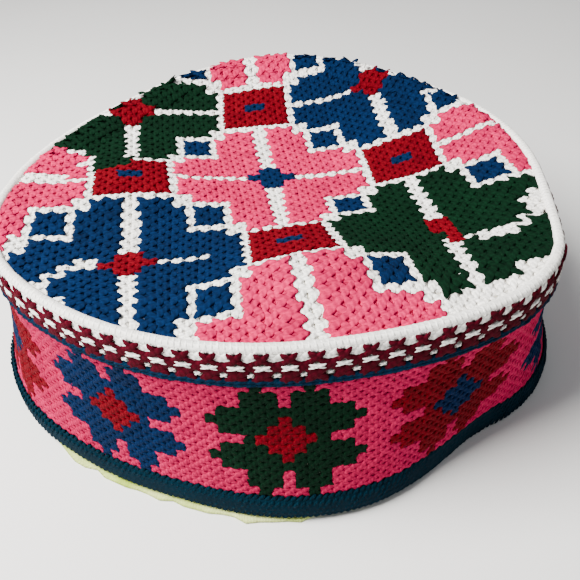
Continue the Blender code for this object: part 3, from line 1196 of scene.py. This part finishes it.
@dataclass
class Crown:
    """The top panel: canvas covered in cross stitches by the crown's chart.

    The chart's middle lies off the plan's centre and is turned by some degrees. The cloth
    puffs up in a strip inside the welt at the back. Cream stitches lie lower than the others.
    """

    column_pitch: float = 49.4 / 12.0 * MM
    row_pitch: float = 49.4 / 11.0 * MM
    turn: float = 6.29
    middle: Pair = (-3.76 * MM, 11.85 * MM)
    reach_columns: int = 27
    reach_rows: int = 26
    stitch_height: float = 1.25 * MM
    base: float = 0.95 * MM
    puff: float = 3.0 * MM
    puff_width: float = 14.0 * MM
    puff_start: float = 0.25
    searches: int = 30
    search_step: float = 0.6
    canvas_inset: float = 1.3 * MM
    canvas_cuts: int = 2
    canvas_puff: float = 0.45
    ray_margin: float = 1.2 * MM
    overhang: float = 1.2 * MM
    tuck_free: float = 0.5 * MM
    tuck_give: float = 0.1
    tuck_drop: float = 0.35
    cream_sunk: float = 0.45 * MM
    seed: int = 11
    swell_seed: int = 5
    swell_play: float = 0.45

    def prepare(self) -> None:
        """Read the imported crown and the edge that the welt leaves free."""
        self.tree = Ring("crown").tree
        self.edge = Ring("crown_welt").each_step(lambda r, z: r.min())
        self.chart = CrownChart()
        self.drift = Drift()

    def drifted(self, x: np.ndarray, y: np.ndarray) -> tuple[np.ndarray, np.ndarray]:
        """Places of stitches along the chart's own axes, with the worn drift of the cloth.

        Args:
            x: columns of stitches.
            y: rows of stitches.

        Returns:
            Distances east and north of the chart's middle.
        """
        drift = np.clip(self.drift.at(x, y), -Drift.WORN, Drift.WORN)
        return x * self.column_pitch + drift[:, 0], y * self.row_pitch + drift[:, 1]

    def plan(self, x: np.ndarray, y: np.ndarray) -> tuple[np.ndarray, np.ndarray]:
        """Plan places of stitches, which have drifted with the cloth.

        Args:
            x: columns of stitches.
            y: rows of stitches.

        Returns:
            X and Y in the cap's frame.
        """
        u, v = self.drifted(x, y)
        turn = math.radians(self.turn)
        return (PLAN_CENTRE[0] + self.middle[0] + u * math.cos(turn) - v * math.sin(turn),
                PLAN_CENTRE[1] + self.middle[1] + u * math.sin(turn) + v * math.cos(turn))

    def chart_spots(self, x: np.ndarray, y: np.ndarray) -> tuple[np.ndarray, np.ndarray]:
        """Spots of the chart that stitches show, where rows were added or left out.

        Args:
            x: columns of stitches.
            y: rows of stitches.

        Returns:
            Columns and rows of the chart.
        """
        u, v = self.drifted(x, y)
        column, row = x.copy(), y.copy()
        for _ in range(self.searches):
            full = self.drift.at(column, row)
            column += self.search_step * ((u - full[:, 0]) / self.column_pitch - column)
            row += self.search_step * ((v - full[:, 1]) / self.row_pitch - row)
        return column, row

    def surface(self, x: np.ndarray, y: np.ndarray) -> np.ndarray:
        """Points of the crown's upper face at chart spots.

        Args:
            x: columns.
            y: rows.

        Returns:
            The points.
        """
        plan_x, plan_y = self.plan(x, y)
        spots = []
        for east, north in zip(plan_x, plan_y):
            dx, dy = east - PLAN_CENTRE[0], north - PLAN_CENTRE[1]
            azimuth = math.degrees(math.atan2(dx, -dy))
            limit = float(Ring.between(self.edge, np.array([azimuth]))[0]) - self.ray_margin
            keep = min(1.0, limit / max(math.hypot(dx, dy), MM))
            start = Vector((PLAN_CENTRE[0] + dx * keep, PLAN_CENTRE[1] + dy * keep, RUN_OUT))
            hit = self.tree.ray_cast(start, Vector((0.0, 0.0, -1.0)))[0]
            spots.append((east, north, hit.z))
        return self.puffed(np.array(spots))

    def puffed(self, points: np.ndarray) -> np.ndarray:
        """Raise the cloth inside the back of the welt, where it puffs up over it.

        Args:
            points: points of the crown.

        Returns:
            The same points, raised.
        """
        away = points[:, :2] - np.array(PLAN_CENTRE)
        radius = np.hypot(away[:, 0], away[:, 1])
        azimuth = np.degrees(np.arctan2(away[:, 0], -away[:, 1]))
        back = np.clip(self.puff_start - np.cos(np.radians(azimuth)), 0.0, 1.0)
        inward = np.clip((Ring.between(self.edge, azimuth) - radius) / self.puff_width, 0.0, 1.0)
        share = np.sqrt(inward)
        points[:, 2] += self.puff * back * 4.0 * share * (1.0 - share)
        return points

    def tucked(self, points: np.ndarray) -> np.ndarray:
        """Draw in the points that would pass under the welt.

        Args:
            points: points of the stitches.

        Returns:
            The same points, kept inside the welt.
        """
        away = points[..., :2] - np.array(PLAN_CENTRE)
        radius = np.hypot(away[..., 0], away[..., 1])
        azimuth = np.degrees(np.arctan2(away[..., 0], -away[..., 1]))
        limit = Ring.between(self.edge, azimuth) + self.tuck_free
        over = np.clip(radius - limit, 0.0, None)
        keep = np.where(over > 0.0, (limit + self.tuck_give * over) / radius, 1.0)
        points[..., :2] = np.array(PLAN_CENTRE) + away * keep[..., None]
        points[..., 2] -= self.tuck_drop * over
        return points

    def build(self, maker: Maker, stitch: Shape) -> None:
        """Lay the canvas and every stitch of the crown.

        Args:
            maker: makes the pieces.
            stitch: the cross stitch.
        """
        self.prepare()
        canvas = maker.under_layer("crown", "crown_canvas", self.canvas_inset, Weave.CANVAS)
        self.raise_canvas(canvas)
        columns = np.arange(-self.reach_columns, self.reach_columns) + 0.5
        rows = np.arange(-self.reach_rows, self.reach_rows + 1, dtype=float)
        grid_x, grid_y = np.meshgrid(columns, rows)
        chart_x, chart_y = self.chart_spots(grid_x.reshape(-1), grid_y.reshape(-1))
        cells = [self.chart.cell(math.floor(a) + 0.5, round(b)) for a, b in zip(chart_x, chart_y)]
        kinds = np.array([kind.value for kind, _ in cells]).reshape(grid_x.shape)
        wools = np.array([wool.value for _, wool in cells])
        x, y = grid_x.reshape(-1), grid_y.reshape(-1)
        plan_x, plan_y = self.plan(x, y)
        dx, dy = plan_x - PLAN_CENTRE[0], plan_y - PLAN_CENTRE[1]
        limit = Ring.between(self.edge, np.degrees(np.arctan2(dx, -dy)))
        inside = np.hypot(dx, dy) < limit + self.overhang
        west, east = (self.swells(kinds, step, 1)[inside] for step in (-1, 1))
        south, north = (self.swells(kinds, step, 0)[inside] for step in (-1, 1))
        x, y, wools = x[inside], y[inside], wools[inside]
        middles = self.surface(x, y)
        across = self.surface(x + 0.5, y) - self.surface(x - 0.5, y)
        along = self.surface(x, y + 0.5) - self.surface(x, y - 0.5)
        middles = middles + across * ((east - west) / 2)[:, None] + along * ((north - south) / 2)[:, None]
        across = across * (1.0 + east + west)[:, None]
        along = along * (1.0 + north + south)[:, None]
        for number, wool in enumerate((Wool.PINK, Wool.BLUE, Wool.GREEN, Wool.RED, Wool.CREAM)):
            mine = wools == wool.value
            sunk = self.cream_sunk if wool is Wool.CREAM else 0.0
            layout = Layout(middles[mine], across[mine], along[mine], self.stitch_height)
            layout.middles = layout.middles - (self.base + sunk) * layout.normals()
            points, tones = layout.lay(stitch, self.seed + number)
            maker.copies(f"crown_{wool.value}_stitches", stitch, self.tucked(points), tones, wool)

    def raise_canvas(self, canvas: bpy.types.Object) -> None:
        """Raise the canvas with the stitches that puff up over it.

        Args:
            canvas: the crown's canvas.
        """
        Bench.take(canvas)
        bpy.ops.object.mode_set(mode='EDIT')
        bpy.ops.mesh.select_all(action='SELECT')
        bpy.ops.mesh.subdivide(number_cuts=self.canvas_cuts)
        bpy.ops.object.mode_set(mode='OBJECT')
        spots = np.array([tuple(vertex.co) for vertex in canvas.data.vertices])
        raised = spots + self.canvas_puff * (self.puffed(spots.copy()) - spots)
        canvas.data.vertices.foreach_set("co", raised.reshape(-1).astype(np.float32))

    def swells(self, kinds: np.ndarray, step: int, axis: int) -> np.ndarray:
        """How far each cell spreads to one side.

        Args:
            kinds: kind of every cell, a row of the array for each row of stitches.
            step: 1 or -1, the side's direction.
            axis: 1 along the row, 0 along the column.

        Returns:
            Shares of a cell.
        """
        others = np.roll(kinds, -step, axis=axis)
        shares = np.array([self.chart.swell(Kind(mine), Kind(other), 1 - axis)
                           for mine, other in zip(kinds.reshape(-1), others.reshape(-1))])
        draw = np.random.default_rng(self.swell_seed + 2 * axis + (step > 0))
        return shares * (1.0 + self.swell_play * draw.uniform(-1.0, 1.0, len(shares)))


@dataclass
class WallBand:
    """A band of cross stitches round the wall, on one packed ring.

    top_over and bottom_over are how far the worked cloth passes the ring's two edges.
    """

    node: str
    prefix: str
    columns: int
    rows: int
    start: float
    chart: Callable[[int, int], Wool]
    fit: Callable[[int, int], Triple] = lambda column, row: (1.0, 1.0, 0.0)
    top_over: float = 0.0
    bottom_over: float = 0.0
    stitch_height: float = 1.1 * MM
    base: float = 0.8 * MM
    canvas_inset: float = 0.8 * MM
    edge_margin: float = 0.2 * MM
    # painted shade: the pink on the wall is darkened to stand in for the shade that falls on the side
    pink_wall_shade: float = 0.76
    seed: int = 40

    def prepare(self) -> None:
        """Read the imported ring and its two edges."""
        self.ring = Ring(self.node)
        self.top = self.ring.each_step(lambda r, z: z.max())
        self.bottom = self.ring.each_step(lambda r, z: z.min())

    def surface(self, column: np.ndarray, row: np.ndarray) -> np.ndarray:
        """Points of the band's face.

        Args:
            column: columns round from the front.
            row: rows down from the top edge.

        Returns:
            The points.
        """
        azimuth = self.start + column * 360.0 / self.columns
        top = Ring.between(self.top, azimuth)
        bottom = Ring.between(self.bottom, azimuth)
        drop = (top + self.top_over - bottom - self.bottom_over) * row / self.rows
        height = top + self.top_over - drop
        inner = np.clip(height, bottom + self.edge_margin, top - self.edge_margin)
        radius = np.array([self.ring.face_radius(a, h) for a, h in zip(azimuth, inner)])
        return on_plan(azimuth, radius, height)

    def cells(self) -> tuple[np.ndarray, np.ndarray]:
        """Columns and rows of all cells.

        Returns:
            The two lists.
        """
        x, y = np.meshgrid(np.arange(self.columns), np.arange(self.rows))
        x = (x + self.columns // 2) % self.columns - self.columns // 2
        return x.reshape(-1).astype(float), y.reshape(-1).astype(float)

    def build(self, maker: Maker, stitch: Shape) -> None:
        """Lay the canvas and every stitch of the band.

        Args:
            maker: makes the pieces.
            stitch: the cross stitch.
        """
        self.prepare()
        maker.under_layer(self.node, self.prefix + "_canvas", self.canvas_inset, Weave.CANVAS)
        x, y = self.cells()
        wools = np.array([self.chart(int(a), int(b)).value for a, b in zip(x, y)])
        for number, value in enumerate(sorted(set(wools))):
            mine = wools == value
            name = f"{self.prefix}_{value}_stitches"
            self.lay(maker, stitch, name, Wool(value), (x[mine], y[mine]), self.seed + number)

    def lay(self, maker: Maker, stitch: Shape, name: str, wool: Wool,
            cells: tuple[np.ndarray, np.ndarray], seed: int) -> None:
        """Lay stitches of one wool on some cells.

        Args:
            maker: makes the piece.
            stitch: the stitch.
            name: the piece's name.
            wool: its wool.
            cells: columns and rows of the cells.
            seed: start of the random draws.
        """
        x, y = cells
        middles = self.surface(x, y + 0.5)
        across = self.surface(x + 0.5, y + 0.5) - self.surface(x - 0.5, y + 0.5)
        along = self.surface(x, y) - self.surface(x, y + 1.0)
        wide, tall, lift = np.array([self.fit(int(a), int(b)) for a, b in zip(x, y)]).T
        layout = Layout(middles, across * wide[:, None], along * tall[:, None], self.stitch_height)
        layout.middles = middles + (lift * MM - self.base)[:, None] * layout.normals()
        points, tones = layout.lay(stitch, seed)
        # painted shade: the wall's pink stitches are darkened
        if wool is Wool.PINK:
            tones = tones * self.pink_wall_shade
        maker.copies(name, stitch, points, tones, wool)


@dataclass
class TrimBand(WallBand):
    """The band under the welt, whose first maroon row is thin crosses over the cream."""

    thin: CrossStitch = field(default_factory=lambda: CrossStitch(
        reach=0.74, width=0.25, thick=0.34, pad=0.20, under=(0.40, 0.62, 0.66), over=(0.40, 0.64, 0.72)))
    full: CrossStitch = field(default_factory=lambda: CrossStitch(width=0.32, thick=0.34))

    def build(self, maker: Maker, stitch: Shape) -> None:
        """Lay the canvas, the checkerboard and the row of crosses.

        Args:
            maker: makes the pieces.
            stitch: the cross stitch.
        """
        self.prepare()
        maker.under_layer(self.node, self.prefix + "_canvas", self.canvas_inset, Weave.CANVAS)
        x, y = self.cells()
        maroon = np.array([self.chart(int(a), int(b)) is Wool.MAROON for a, b in zip(x, y)])
        first = y < 1.0
        thin, full = self.thin.build(), self.full.build()
        for name, wool, mine, shape in (
            ("trim_cream_stitches", Wool.CREAM, ~maroon, stitch),
            ("trim_maroon_stitches", Wool.MAROON, maroon & ~first, full),
            ("trim_maroon_crosses", Wool.MAROON, maroon & first, thin),
        ):
            self.lay(maker, shape, name, wool, (x[mine], y[mine]), self.seed + len(name))


class FlowerChart:
    """The side band's repeat: a notched flower of thirteen rows on a pink ground."""

    PITCH = 15
    MIDDLE_ROW = 6
    COLOURS = ((Wool.GREEN, Wool.RED), (Wool.RED, Wool.BLUE), (Wool.BLUE, Wool.RED))
    PETALS = {0: (2, 2), 1: (1, 3), 2: (1, 3), 3: (0, 5), 4: (1, 6), 5: (2, 5), 6: (3, 3)}
    HEARTS = {4: 0, 5: 1, 6: 2}

    @classmethod
    def wool(cls, column: int, row: int) -> Wool:
        """Wool of a cell.

        Args:
            column: columns from the middle of the front flower.
            row: rows down from the top.

        Returns:
            The wool.
        """
        flower = math.floor((column + cls.PITCH / 2) / cls.PITCH)
        petal, heart = cls.COLOURS[flower % 3]
        away = abs(column - flower * cls.PITCH)
        level = min(row, 2 * cls.MIDDLE_ROW - row)
        if away <= cls.HEARTS.get(level, -1):
            return heart
        low, high = cls.PETALS[level]
        return petal if low <= away <= high else Wool.PINK


def trim_chart(column: int, row: int) -> Wool:
    """Wool of a cell of the trim, a checkerboard of maroon and cream.

    Args:
        column: columns round.
        row: rows down from the welt.

    Returns:
        The wool.
    """
    return Wool.MAROON if (column + row) % 2 == 0 else Wool.CREAM


def trim_fit(column: int, row: int) -> Triple:
    """How the trim's stitches spread: the maroon covers most of the cream below the first row.

    Args:
        column: columns round.
        row: rows down from the welt.

    Returns:
        Share of its cell's width and height that a stitch takes, and its lift in millimetres.
    """
    if trim_chart(column, row) is Wool.MAROON:
        return ((1.15, 1.3, 0.5), (1.25, 1.2, 0.3), (1.3, 1.5, 0.35))[row]
    return ((1.3, 1.2, 0.0), (0.95, 0.42, 0.75), (0.4, 0.3, 0.3))[row]


@dataclass
class Welt:
    """The cord round the crown, whipped with cream yarn."""

    pitch: float = 1.62 * MM
    core_inset: float = 0.0
    bend: float = 1.24 * MM
    yarn: float = 0.38
    slant: float = 24.0
    around: int = 12
    sides: int = 6
    plies_along: float = 5.0
    half_step: float = 0.5
    wobble: float = 0.03
    seed: int = 71

    def wrap(self) -> Shape:
        """One wrap of yarn round the cord, which runs along X, its bend 1 in radius.

        Returns:
            The wrap.
        """
        Bench.clear()
        bpy.ops.mesh.primitive_torus_add(
            major_segments=self.around, minor_segments=self.sides, major_radius=1.0,
            minor_radius=self.yarn, rotation=(0.0, math.pi / 2, math.radians(self.slant)))
        item = bpy.context.object
        bpy.ops.object.transform_apply(location=True, rotation=True, scale=True)
        uv = np.zeros(len(item.data.uv_layers[0].data) * 2)
        item.data.uv_layers[0].data.foreach_get("uv", uv)
        uv = uv.reshape(-1, 2) * np.array([self.plies_along, 1.0])
        made = Shape.read(item, uv)
        bpy.data.objects.remove(item, do_unlink=True)
        return made

    def build(self, maker: Maker) -> None:
        """Lay the core and its wraps.

        Args:
            maker: makes the pieces.
        """
        ring = Ring("crown_welt")
        radius = ring.each_step(lambda r, z: (r.min() + r.max()) / 2)
        height = ring.each_step(lambda r, z: (z.min() + z.max()) / 2)
        maker.under_layer("crown_welt", "welt_core", self.core_inset, Wool.CREAM)
        length = math.tau * radius.mean()
        count = int(length / self.pitch)
        azimuth = np.arange(count) * 360.0 / count
        places = on_plan(azimuth, Ring.between(radius, azimuth), Ring.between(height, azimuth))
        before, after = (on_plan(azimuth + turn, Ring.between(radius, azimuth + turn),
                                 Ring.between(height, azimuth + turn))
                         for turn in (-self.half_step, self.half_step))
        run = after - before
        run /= np.linalg.norm(run, axis=1)[:, None]
        side = np.cross(np.array([0.0, 0.0, 1.0]), run)
        side /= np.linalg.norm(side, axis=1)[:, None]
        layout = Layout(places, run * self.bend, side * self.bend, self.bend)
        wrap = self.wrap()
        points, tones = layout.lay(wrap, self.seed, self.wobble)
        maker.copies("welt_whipping", wrap, points, tones, Wool.CREAM)


@dataclass
class RowOfStitches:
    """Straight stitches in a line round the cap, such as the dark line under the trim."""

    name: str
    wool: Wool
    length: float
    width: float
    thick: float
    slant: float
    seed: int

    def build(self, maker: Maker, stitch: Shape, azimuth: np.ndarray, radius: np.ndarray,
              height: np.ndarray) -> bpy.types.Object:
        """Lay the stitches along the line.

        Args:
            maker: makes the pieces.
            stitch: the straight stitch.
            azimuth: where each stitch is.
            radius: radius of each stitch's middle.
            height: height of each stitch's middle.

        Returns:
            The piece.
        """
        places = on_plan(azimuth, radius, height)
        turn = np.radians(azimuth)
        run = np.stack([np.cos(turn), np.sin(turn), 0.0 * turn], axis=-1)
        rise = np.array([0.0, 0.0, 1.0]) + 0.0 * run
        lean = math.radians(self.slant)
        across = (run * math.cos(lean) + rise * math.sin(lean)) * self.length
        along = (rise * math.cos(lean) - run * math.sin(lean)) * self.width
        layout = Layout(places, across, along, self.thick)
        points, tones = layout.lay(stitch, self.seed)
        return maker.copies(self.name, stitch, points, tones, self.wool)


@dataclass
class TrimLine:
    """The thin dark line under the trim, in long slanted stitches."""

    pitch: float = 2.6 * MM
    length: float = 4.8 * MM
    width: float = 1.5 * MM
    thick: float = 1.6 * MM
    slant: float = 8.0
    above: Pair = (1.3 * MM, 0.2 * MM)
    seed: int = 90

    def build(self, maker: Maker, stitch: Shape) -> None:
        """Lay the line's core and its two rows of stitches.

        Args:
            maker: makes the pieces.
            stitch: the straight stitch.
        """
        ring = Ring("trim_cord")
        radius = ring.each_step(lambda r, z: (r.min() + r.max()) / 2)
        height = ring.each_step(lambda r, z: (z.min() + z.max()) / 2)
        maker.under_layer("trim_cord", "line_core", 0.0, Wool.NAVY)
        count = int(math.tau * radius.mean() / self.pitch)
        azimuth = np.tile(np.arange(count) * 360.0 / count, len(self.above))
        above = np.repeat(self.above, count)
        row = RowOfStitches("line_stitches", Wool.NAVY, self.length, self.width, self.thick,
                            self.slant, self.seed)
        row.build(maker, stitch, azimuth, Ring.between(radius, azimuth),
                  Ring.between(height, azimuth) + above)


@dataclass
class Binding:
    """The folded dark braid round the hem, in close slanting ribs."""

    pitch: float = 1.9 * MM
    levels: tuple[float, ...] = (0.90, 0.72, 0.54, 0.36, 0.18)
    length: float = 3.2 * MM
    width: float = 1.5 * MM
    thick: float = 0.8 * MM
    slant: float = 50.0
    sunk: float = 0.74 * MM
    smoothing: int = 2
    seed: int = 95

    def build(self, maker: Maker, stitch: Shape) -> None:
        """Lay the braid and its ribs.

        Args:
            maker: makes the pieces.
            stitch: the straight stitch.
        """
        maker.under_layer("hem_binding", "hem_braid", 0.0, Weave.BRAID, self.smoothing)
        ring = Ring("hem_binding")
        top, foot = (ring.each_step(lambda r, z, pick=pick: pick(z)) for pick in (np.max, np.min))
        count = int(math.tau * Wrap.RADIUS / self.pitch)
        azimuth = np.concatenate([(np.arange(count) + 0.5 * (level % 2)) * 360.0 / count
                                  for level in range(len(self.levels))])
        share = np.repeat(self.levels, count)
        low = Ring.between(foot, azimuth)
        height = low + share * (Ring.between(top, azimuth) - low)
        radius = np.array([ring.face_radius(a, h) for a, h in zip(azimuth, height)])
        row = RowOfStitches("hem_ribs", Wool.TEAL, self.length, self.width, self.thick,
                            self.slant, self.seed)
        row.build(maker, stitch, azimuth, radius - self.sunk, height)


@dataclass
class Lining:
    """The pale lining: a thin cloth wall whose edge turns out under the binding.

    Each ripple of its edge is waves round the cap, a start in radians and a share of the depth.
    """

    ripples: tuple[Triple, ...] = ((37.0, 1.0, 1.0), (61.0, 0.0, 0.7), (113.0, 2.0, 0.5))
    depth: float = 0.55 * MM
    drawn: float = 1.4 * MM
    foot_top: float = 2.5 * MM
    foot_height: float = 1.5 * MM
    smoothing: int = 1
    flat: Pair = (0.055, 0.58)

    def build(self, maker: Maker) -> None:
        """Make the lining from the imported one, smoothed and crumpled at its edge.

        Args:
            maker: makes the pieces.
        """
        item = maker.under_layer("lining", "lining_cloth", 0.0, Weave.LIME, self.smoothing)
        mesh = item.data
        spots = np.zeros(len(mesh.vertices) * 3)
        mesh.vertices.foreach_get("co", spots)
        spots = spots.reshape(-1, 3)
        away = spots[:, :2] - np.array(PLAN_CENTRE)
        radius = np.hypot(away[:, 0], away[:, 1])
        turn = np.arctan2(away[:, 0], -away[:, 1])
        foot = np.clip((self.foot_top - spots[:, 2]) / self.foot_height, 0.0, 1.0)
        ripple = sum(share * np.sin(turn * waves + start) for waves, start, share in self.ripples)
        radius += foot * (ripple * self.depth - self.drawn)
        spots[:, 0] = PLAN_CENTRE[0] + radius * np.sin(turn)
        spots[:, 1] = PLAN_CENTRE[1] - radius * np.cos(turn)
        mesh.vertices.foreach_set("co", spots.reshape(-1).astype(np.float32))
        mesh.update()


@dataclass
class Stage:
    """Floor, light and camera.

    Pitch and roll are in degrees, the camera looks towards +Y, and the lamps face the cap.
    """

    floor_half: float = 3.0
    floor_tones: tuple[Triple, Triple] = ((0.76, 0.755, 0.74), (0.80, 0.795, 0.78))
    floor_roughness: float = 0.85
    sky: Triple = (0.93, 0.95, 1.0)
    sky_strength: float = 0.31
    aim: Triple = (0.0, 0.0, 0.04)
    camera_spot: Triple = (PLAN_CENTRE[0] + 1.11 * MM, PLAN_CENTRE[1] - 213.35 * MM, 189.42 * MM)
    pitch: float = 39.571
    roll: float = -3.459
    focal_px: float = 696.37
    image_px: float = 580.0
    sensor: float = 36.0

    def build(self) -> None:
        """Make the floor, the lights and the camera."""
        self.floor()
        self.light("key", (-0.32, -0.14, 0.52), 0.34, 15.2, (1.0, 0.985, 0.955))
        self.light("fill", (0.55, -0.45, 0.60), 0.9, 0.6, (0.95, 0.97, 1.0))
        self.light("back", (-0.15, 0.8, 0.8), 0.9, 0.9, (1.0, 1.0, 1.0))
        self.world()
        self.camera()

    def floor(self) -> None:
        """Lay a plain pale floor."""
        Bench.clear()
        bpy.ops.mesh.primitive_plane_add(size=2.0 * self.floor_half, location=(0.0, 0.0, 0.0))
        floor = bpy.context.object
        floor.name = "floor"
        bench = NodeBench("floor_paint")
        place = bench.node("TexCoord").outputs["Object"]
        grain = bench.node("TexNoise", {"Vector": place, "Scale": 9.0, "Detail": 2.0})
        dark, pale = self.floor_tones
        colour = bench.blend(grain.outputs["Fac"], (*dark, 1.0), (*pale, 1.0))
        bench.tree.links.new(colour, bench.shader.inputs["Base Color"])
        bench.shader.inputs["Roughness"].default_value = self.floor_roughness
        floor.data.materials.append(bench.material)

    def light(self, name: str, spot: Triple, size: float, watts: float, colour: Triple) -> None:
        """Add a soft area light that faces the cap.

        Args:
            name: its name.
            spot: where it hangs.
            size: its width.
            watts: its power.
            colour: its tint.
        """
        data = bpy.data.lights.new(name, 'AREA')
        data.size = size
        data.energy = watts
        data.color = colour
        lamp = bpy.data.objects.new(name, data)
        bpy.context.scene.collection.objects.link(lamp)
        lamp.location = spot
        lamp.rotation_mode = 'QUATERNION'
        lamp.rotation_quaternion = (Vector(self.aim) - Vector(spot)).to_track_quat('-Z', 'Y')

    def world(self) -> None:
        """Set a plain pale surrounding."""
        world = bpy.data.worlds.new("studio")
        world.use_nodes = True
        sky = world.node_tree.nodes["Background"]
        sky.inputs["Color"].default_value = (*self.sky, 1.0)
        sky.inputs["Strength"].default_value = self.sky_strength
        bpy.context.scene.world = world

    def camera(self) -> None:
        """Stand the camera at the photograph's angle."""
        data = bpy.data.cameras.new("camera")
        data.sensor_width = self.sensor
        data.lens = self.sensor * self.focal_px / self.image_px
        data.clip_start = 0.01
        camera = bpy.data.objects.new("camera", data)
        bpy.context.scene.collection.objects.link(camera)
        pitch, roll = math.radians(self.pitch), math.radians(self.roll)
        ahead = Vector((0.0, math.cos(pitch), -math.sin(pitch)))
        right = Vector((1.0, 0.0, 0.0))
        up = right.cross(ahead)
        side = right * math.cos(roll) + up * math.sin(roll)
        top = up * math.cos(roll) - right * math.sin(roll)
        turn = Matrix((side, top, -ahead)).transposed().to_4x4()
        camera.matrix_world = Matrix.Translation(self.camera_spot) @ turn
        bpy.context.scene.camera = camera


def main() -> None:
    """Build every part of the cap's dress in order."""
    logging.basicConfig(level=logging.INFO, format="%(message)s")
    maker = Maker()
    cross = CrossStitch().build()
    plain = PlainStitch().build()
    Crown().build(maker, cross)
    Welt().build(maker)
    trim = TrimBand("trim_band", "trim", columns=170, rows=3, start=0.0, chart=trim_chart, fit=trim_fit,
                    top_over=1.2 * MM, bottom_over=1.1 * MM, seed=60)
    trim.build(maker, cross)
    TrimLine().build(maker, plain)
    side = WallBand("side_band", "side", columns=165, rows=13, start=-1.4, chart=FlowerChart.wool,
                    top_over=1.7 * MM)
    side.build(maker, cross)
    Binding().build(maker, plain)
    Lining().build(maker)
    Stage().build()


if __name__ == "__main__":
    main()
